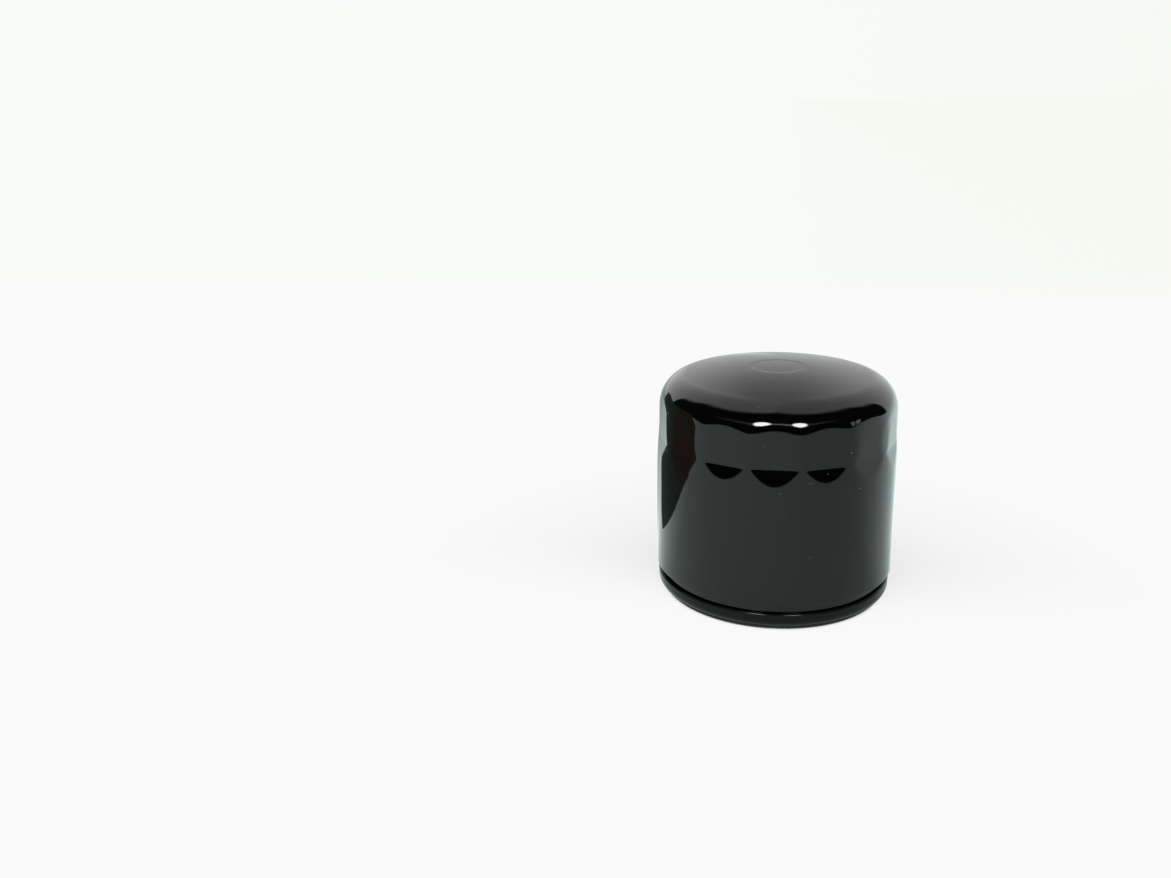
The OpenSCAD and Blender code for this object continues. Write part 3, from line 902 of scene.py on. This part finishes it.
PLUNGER_TOP = cad_top("bypass_plunger")
PLUNGER_LOW = cad_low("bypass_plunger")
PLUNGER_R = 9.6
STEM_R = 2


def bypass_plunger():
    """The valve's disc, boss and stem, turned as one."""
    plate_low = PLUNGER_TOP - 1.2
    outline = path(
        [0, PLUNGER_LOW], [STEM_R - 0.5, PLUNGER_LOW],
        [STEM_R - 0.12, PLUNGER_LOW + 0.15], [STEM_R, PLUNGER_LOW + 0.5],
        [STEM_R, plate_low - 2.3], arc(STEM_R + 0.3, plate_low - 2.3, 0.3, 180, 90, 4),
        [4.3, plate_low - 2], [4.53, plate_low - 1.9], [4.6, plate_low - 1.7],
        arc(4.9, plate_low - 0.3, 0.3, 180, 90, 4),
        [PLUNGER_R - 0.15, plate_low], [PLUNGER_R, plate_low + 0.15], [PLUNGER_R, PLUNGER_TOP - 0.15],
        [PLUNGER_R - 0.15, PLUNGER_TOP], [0, PLUNGER_TOP],
    )
    return turned("bypass_plunger_moulding", outline, 96)


def plunger_seal():
    low = cad_low("bypass_plunger_seal")
    top = cad_top("bypass_plunger_seal")
    outline = path(
        [5.1, low], [PLUNGER_R - 0.45, low], [PLUNGER_R - 0.3, low + 0.15], [PLUNGER_R - 0.3, top - 0.15],
        [PLUNGER_R - 0.45, top], [5.1, top], [5, top - 0.1], [5, low + 0.1],
    )
    return turned("bypass_plunger_seal_disc", outline, 96)


def coil_line(low, top, r_low, r_top, wire_d, turns, steps):
    """The middle of a coil with closed end turns and an even pitch between them."""
    t = np.linspace(0, turns, int(turns * steps) + 1)
    closed = 0.75
    pitch = (top - low - wire_d - 2 * closed * wire_d) / (turns - 2 * closed)
    height = np.where(t < closed, wire_d * t, closed * wire_d + pitch * (t - closed))
    height = np.where(t > turns - closed, top - low - wire_d - wire_d * (turns - t), height)
    r = r_low + (r_top - r_low) * t / turns
    return np.column_stack([r * np.cos(TURN * t), r * np.sin(TURN * t), low + wire_d / 2 + height])


def spring(name, node, r_low, r_top, wire_d, turns, steps=40):
    """A coil between the ends of its CAD node."""
    line = coil_line(cad_low(node), cad_top(node), r_low, r_top, wire_d, turns, steps)
    return wire(name, line, wire_d / 2)


place(bypass_plunger(), "bypass_valve", "phenolic", PHENOLIC, "bypass_plunger")
place(plunger_seal(), "bypass_valve", "seal_rubber", SEAL_RUBBER, "bypass_plunger_seal")
bypass_coil = spring("bypass_spring_coil", "bypass_spring", 6.2, 6.2, 1.1, 5.5)
place(bypass_coil, "housing", "spring_wire", SPRING_STEEL, "bypass_spring")
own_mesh(bypass_coil)

element_coil = spring("element_spring_coil", "element_spring", 19.6, 13.3, 1.9, 2.75, 60)
place(element_coil, "housing", "spring_wire", SPRING_STEEL, "element_spring")


def spring_seat():
    """A flat ring with a turned-up inner edge."""
    low = cad_low("spring_seat")
    t = 0.4
    middle = path(
        [16.4, low + 2.2], arc(16.8, low + t / 2 + 0.4, 0.4, 180, 270, 8), [21.4, low + t / 2],
    )
    return turned("spring_seat_ring", sheet(middle, t, edge=3), 144)


place(spring_seat(), "housing", "seat_steel", SEAT_STEEL, "spring_seat")
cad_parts["bypass_cage"].data.materials.clear()
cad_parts["bypass_cage"].data.materials.append(CAGE_STEEL)


# ---- Studio: camera, floor and the light that the paint reflects ----

# The camera's place is in metres.
CAMERA_AT = (0, -0.34453, 0.15792)
CAMERA_YAW = math.radians(-10.22)
CAMERA_PITCH = math.radians(17.52)
CAMERA_ROLL = math.radians(-1.24)
CAMERA_LENS = 34.04
WALL_LEFT = (0.947, 0.965, 0.939)
WALL_RIGHT = (0.923, 0.947, 0.887)
DARK_ROOM = 0.012
LAMP_ELEVATION = 25


def add_camera():
    ahead = Vector((
        math.sin(CAMERA_YAW) * math.cos(CAMERA_PITCH),
        math.cos(CAMERA_YAW) * math.cos(CAMERA_PITCH),
        -math.sin(CAMERA_PITCH),
    ))
    level = Vector((math.cos(CAMERA_YAW), -math.sin(CAMERA_YAW), 0))
    upright = level.cross(ahead)
    right = math.cos(CAMERA_ROLL) * level + math.sin(CAMERA_ROLL) * upright
    up = math.cos(CAMERA_ROLL) * upright - math.sin(CAMERA_ROLL) * level
    data = bpy.data.cameras.new("camera")
    data.lens = CAMERA_LENS
    data.sensor_width = 36
    data.clip_start = 0.01
    data.clip_end = 100
    camera = bpy.data.objects.new("camera", data)
    bpy.context.collection.objects.link(camera)
    turn = Matrix((right, up, -ahead)).transposed()
    camera.matrix_world = Matrix.Translation(CAMERA_AT) @ turn.to_4x4()
    bpy.context.scene.camera = camera


def spot(n, direction, azimuth, elevation, inner, outer):
    """1 near a direction, fading out between two angles from it, all in degrees."""
    a, e = math.radians(azimuth), math.radians(elevation)
    centre = (math.sin(a) * math.cos(e), math.cos(a) * math.cos(e), math.sin(e))
    dot = n.add("VectorMath", {0: direction, 1: centre}, operation="DOT_PRODUCT").outputs["Value"]
    return n.ease(dot, math.cos(math.radians(outer)), math.cos(math.radians(inner)))


def pane(n, azimuth, elevation, az_range, el_range, soft):
    """1 inside a window of the sky, in degrees."""
    parts = []
    for value, (low, high) in ((azimuth, az_range), (elevation, el_range)):
        parts.append(n.ease(value, low - soft, low + soft))
        parts.append(n.ease(value, high + soft, high - soft))
    return n.product(*parts)


def add_world():
    """Pale walls and ceiling, with the dark room behind the camera and its two lamps and window."""
    world = bpy.data.worlds.new("studio")
    world.use_nodes = True
    bpy.context.scene.world = world
    n = Nodes(world.node_tree)
    direction = n.add("TexCoord").outputs["Generated"]
    x, y, z = n.add("SeparateXYZ", {0: direction}).outputs
    azimuth = n.product(n.math("ARCTAN2", x, y), 360 / TURN)
    elevation = n.product(n.math("ARCSINE", z), 360 / TURN)
    turned_by = n.math("ABSOLUTE", azimuth)
    dark_top = n.ramp(n.math("DIVIDE", turned_by, 180), [
        (0.30, 0.0), (0.333, 0.45), (0.40, 0.52), (0.444, 0.61), (0.533, 0.65), (0.656, 0.69),
        (0.833, 0.76), (1.0, 0.82),
    ])
    dark_top = n.math("SUBTRACT", n.product(dark_top, 110), 20)
    pale = n.ease(n.math("SUBTRACT", elevation, dark_top), -6, 6)
    middle = n.ramp(n.math("DIVIDE", elevation, 90), [
        (0.0, 0.62), (0.2, 0.57), (0.31, 0.44), (0.38, 0.4), (0.54, 0.58), (0.79, 0.83), (1.0, 0.92),
    ])
    middle = n.product(middle, 1.3)
    flanks = n.product(n.ease(azimuth, -15, 15, 1.28, 1.1), n.ease(elevation, 20, 75, 1, 0.84))
    walls = n.add("Mix", {"Factor": n.ease(turned_by, 2, 17), 2: middle, 3: flanks}).outputs[0]
    room = n.total(n.product(walls, pale), n.product(n.math("SUBTRACT", 1, pale), DARK_ROOM))
    lamps = n.total(
        spot(n, direction, -166.5, LAMP_ELEVATION, 6, 9),
        spot(n, direction, 157, LAMP_ELEVATION, 5.5, 8),
    )
    between_lamps = n.product(n.ease(turned_by, 150, 172), 5)
    streak = n.product(
        n.ease(n.distance(elevation, LAMP_ELEVATION), 5, 0),
        n.total(n.ease(turned_by, 110, 140), between_lamps),
    )
    window = n.total(
        pane(n, azimuth, elevation, (94, 100), (2, 13), 0.8),
        pane(n, azimuth, elevation, (102, 107), (2, 13), 0.8),
    )
    glow = n.total(n.product(lamps, 22), n.product(streak, 0.35), n.product(window, 1.4))
    path_kind = n.add("LightPath")
    seen = n.total(room, n.product(glow, path_kind.outputs["Is Glossy Ray"]))
    lit = n.add("Background", {"Color": (0.99, 1.0, 0.985, 1), "Strength": seen}).outputs[0]
    plain = n.mix(n.ease(azimuth, -20, 30), WALL_LEFT, WALL_RIGHT)
    plain = n.add("Background", {"Color": plain, "Strength": 1.0}).outputs[0]
    chosen = n.add("MixShader", {0: path_kind.outputs["Is Camera Ray"], 1: lit, 2: plain}).outputs[0]
    n.add("OutputWorld", {"Surface": chosen})


def add_floor():
    """A plain white table that glows. The camera sees it evenly bright with a painted contact shadow and a
    painted soft shadow round the can, and reflections see painted light and shade that change with the
    direction round the can.
    """
    reach = 12
    mesh = bpy.data.meshes.new("table")
    corners = [(-reach, -reach, 0), (reach, -reach, 0), (reach, reach, 0), (-reach, reach, 0)]
    mesh.from_pydata(corners, [], [(0, 1, 2, 3)])
    floor = bpy.data.objects.new("table", mesh)
    bpy.context.collection.objects.link(floor)
    floor.location.z = -0.0001
    material, n, where = new_material("white_table")
    x, y, z = n.add("SeparateXYZ", {0: where}).outputs
    around = n.total(n.math("DIVIDE", n.math("ARCTAN2", x, y), TURN), 0.5)
    # Painted light and shade: the table's brightness as the reflections see it changes with the direction
    # round the can, not with the table's own colour.
    painted_table_light = n.ramp(around, [
        (0.0, 0.47), (0.22, 0.55), (0.34, 0.95), (0.40, 0.32), (0.47, 0.3), (0.53, 0.6), (0.6, 0.95),
        (0.72, 0.56), (0.8, 0.37), (0.9, 0.4), (1.0, 0.47),
    ])
    # Painted shade beyond the table's front edge, where the reflections see the dark room, and painted
    # light farther back on the left.
    front_edge = -0.36
    on_table = n.ease(y, front_edge - 0.12, front_edge + 0.04, 0, 1.5)
    far_left_painted_light = n.product(n.ease(y, 0.02, 0.14, 0, 0.7), n.ease(x, -0.01, -0.06))
    painted_table_light = n.product(painted_table_light, n.total(on_table, far_left_painted_light))
    tint = n.add("CombineColor", {
        0: n.product(painted_table_light, 0.93), 1: n.product(painted_table_light, 1.085), 2: n.product(painted_table_light, 1.06),
    })
    # Painted contact shadow: the glow fades almost to black where the can stands close above the table.
    contact_shadow = n.add("AmbientOcclusion", {"Distance": 0.003}, samples=12).outputs["AO"]
    contact_shadow = n.ease(contact_shadow, 0.05, 0.34, 0.01, 1)
    # Reflections see the table glow with this painted light and shade and the painted contact shadow, plus
    # half of its real diffuse light.
    open_light = n.product(contact_shadow, 0.7)
    open_light = n.add("Emission", {"Color": tint.outputs[0], "Strength": open_light}).outputs[0]
    sky_light = n.add("BsdfDiffuse", {"Color": tint.outputs[0]}).outputs[0]
    sky_light = n.add("MixShader", {0: 0.5, 2: sky_light}).outputs[0]
    painted_table_for_reflections = n.add("AddShader", {0: open_light, 1: sky_light}).outputs[0]
    wall = n.mix(n.ease(x, -0.4, 0.5), WALL_LEFT, WALL_RIGHT)
    seen = n.mix(n.ease(y, 0.5, 0.66), (0.956, 0.956, 0.956), wall)
    # Painted soft shadow round the can, deeper behind it than in front.
    around_it = n.add("AmbientOcclusion", {"Distance": 0.1}, samples=12).outputs["AO"]
    depth = n.ease(y, -0.03, 0.03, 0.02, 0.5)
    soft = n.math("SUBTRACT", 1, n.product(n.math("SUBTRACT", 1, around_it), depth))
    shadow = n.product(contact_shadow, soft)
    # The camera sees the table glow evenly bright apart from these painted shadows.
    bright = n.add("Emission", {"Color": seen, "Strength": shadow}).outputs[0]
    is_camera = n.add("LightPath").outputs["Is Camera Ray"]
    mixed = n.add("MixShader", {0: is_camera, 1: painted_table_for_reflections, 2: bright}).outputs[0]
    from_below = n.add("NewGeometry").outputs["Backfacing"]
    clear = n.add("BsdfTransparent").outputs[0]
    mixed = n.add("MixShader", {0: from_below, 1: mixed, 2: clear}).outputs[0]
    n.add("OutputMaterial", {"Surface": mixed})
    mesh.materials.append(material)


def add_dark_box():
    """A dark board that stands to the left and shows only in the gloss paint. Its glow is painted shade:
    the shaded faces of a carton as the paint reflects them, with a warm patch for its print.
    """
    corner = Vector((-0.071, 0.027, 0))
    front = Vector((-0.107, -0.057, 0))
    side = Vector((-0.0095, 0.0203, 0))
    height = Vector((0, 0, 0.0785))
    base = [corner, corner + front, corner + front + side, corner + side]
    mesh = bpy.data.meshes.new("dark_box")
    mesh.from_pydata(base + [p + height for p in base], [], [
        (0, 1, 5, 4), (1, 2, 6, 5), (2, 3, 7, 6), (3, 0, 4, 7), (4, 5, 6, 7),
    ])
    box = bpy.data.objects.new("dark_box", mesh)
    bpy.context.collection.objects.link(box)
    material, n, where = new_material("dark_box")
    middle = corner + front * 0.66 + height * 0.5
    away = n.add("VectorMath", {0: where, 1: tuple(middle)}, operation="DISTANCE").outputs["Value"]
    warm = n.product(n.ease(away, 0.046, 0.02), n.ease(n.noise(where, 60), 0.35, 0.6, 0.55, 1))
    # Painted shade: the board glows at the brightness of a carton's shaded faces, warmer where the carton
    # is printed.
    colour = n.mix(warm, (0.075, 0.115, 0.1), (0.16, 0.06, 0.045))
    n.add("OutputMaterial", {"Surface": n.add("Emission", {"Color": colour, "Strength": 1.0}).outputs[0]})
    mesh.materials.append(material)
    box.visible_camera = False
    box.visible_diffuse = False
    box.visible_shadow = False


add_camera()
add_world()
add_floor()
add_dark_box()
bpy.context.scene.view_settings.view_transform = "Standard"
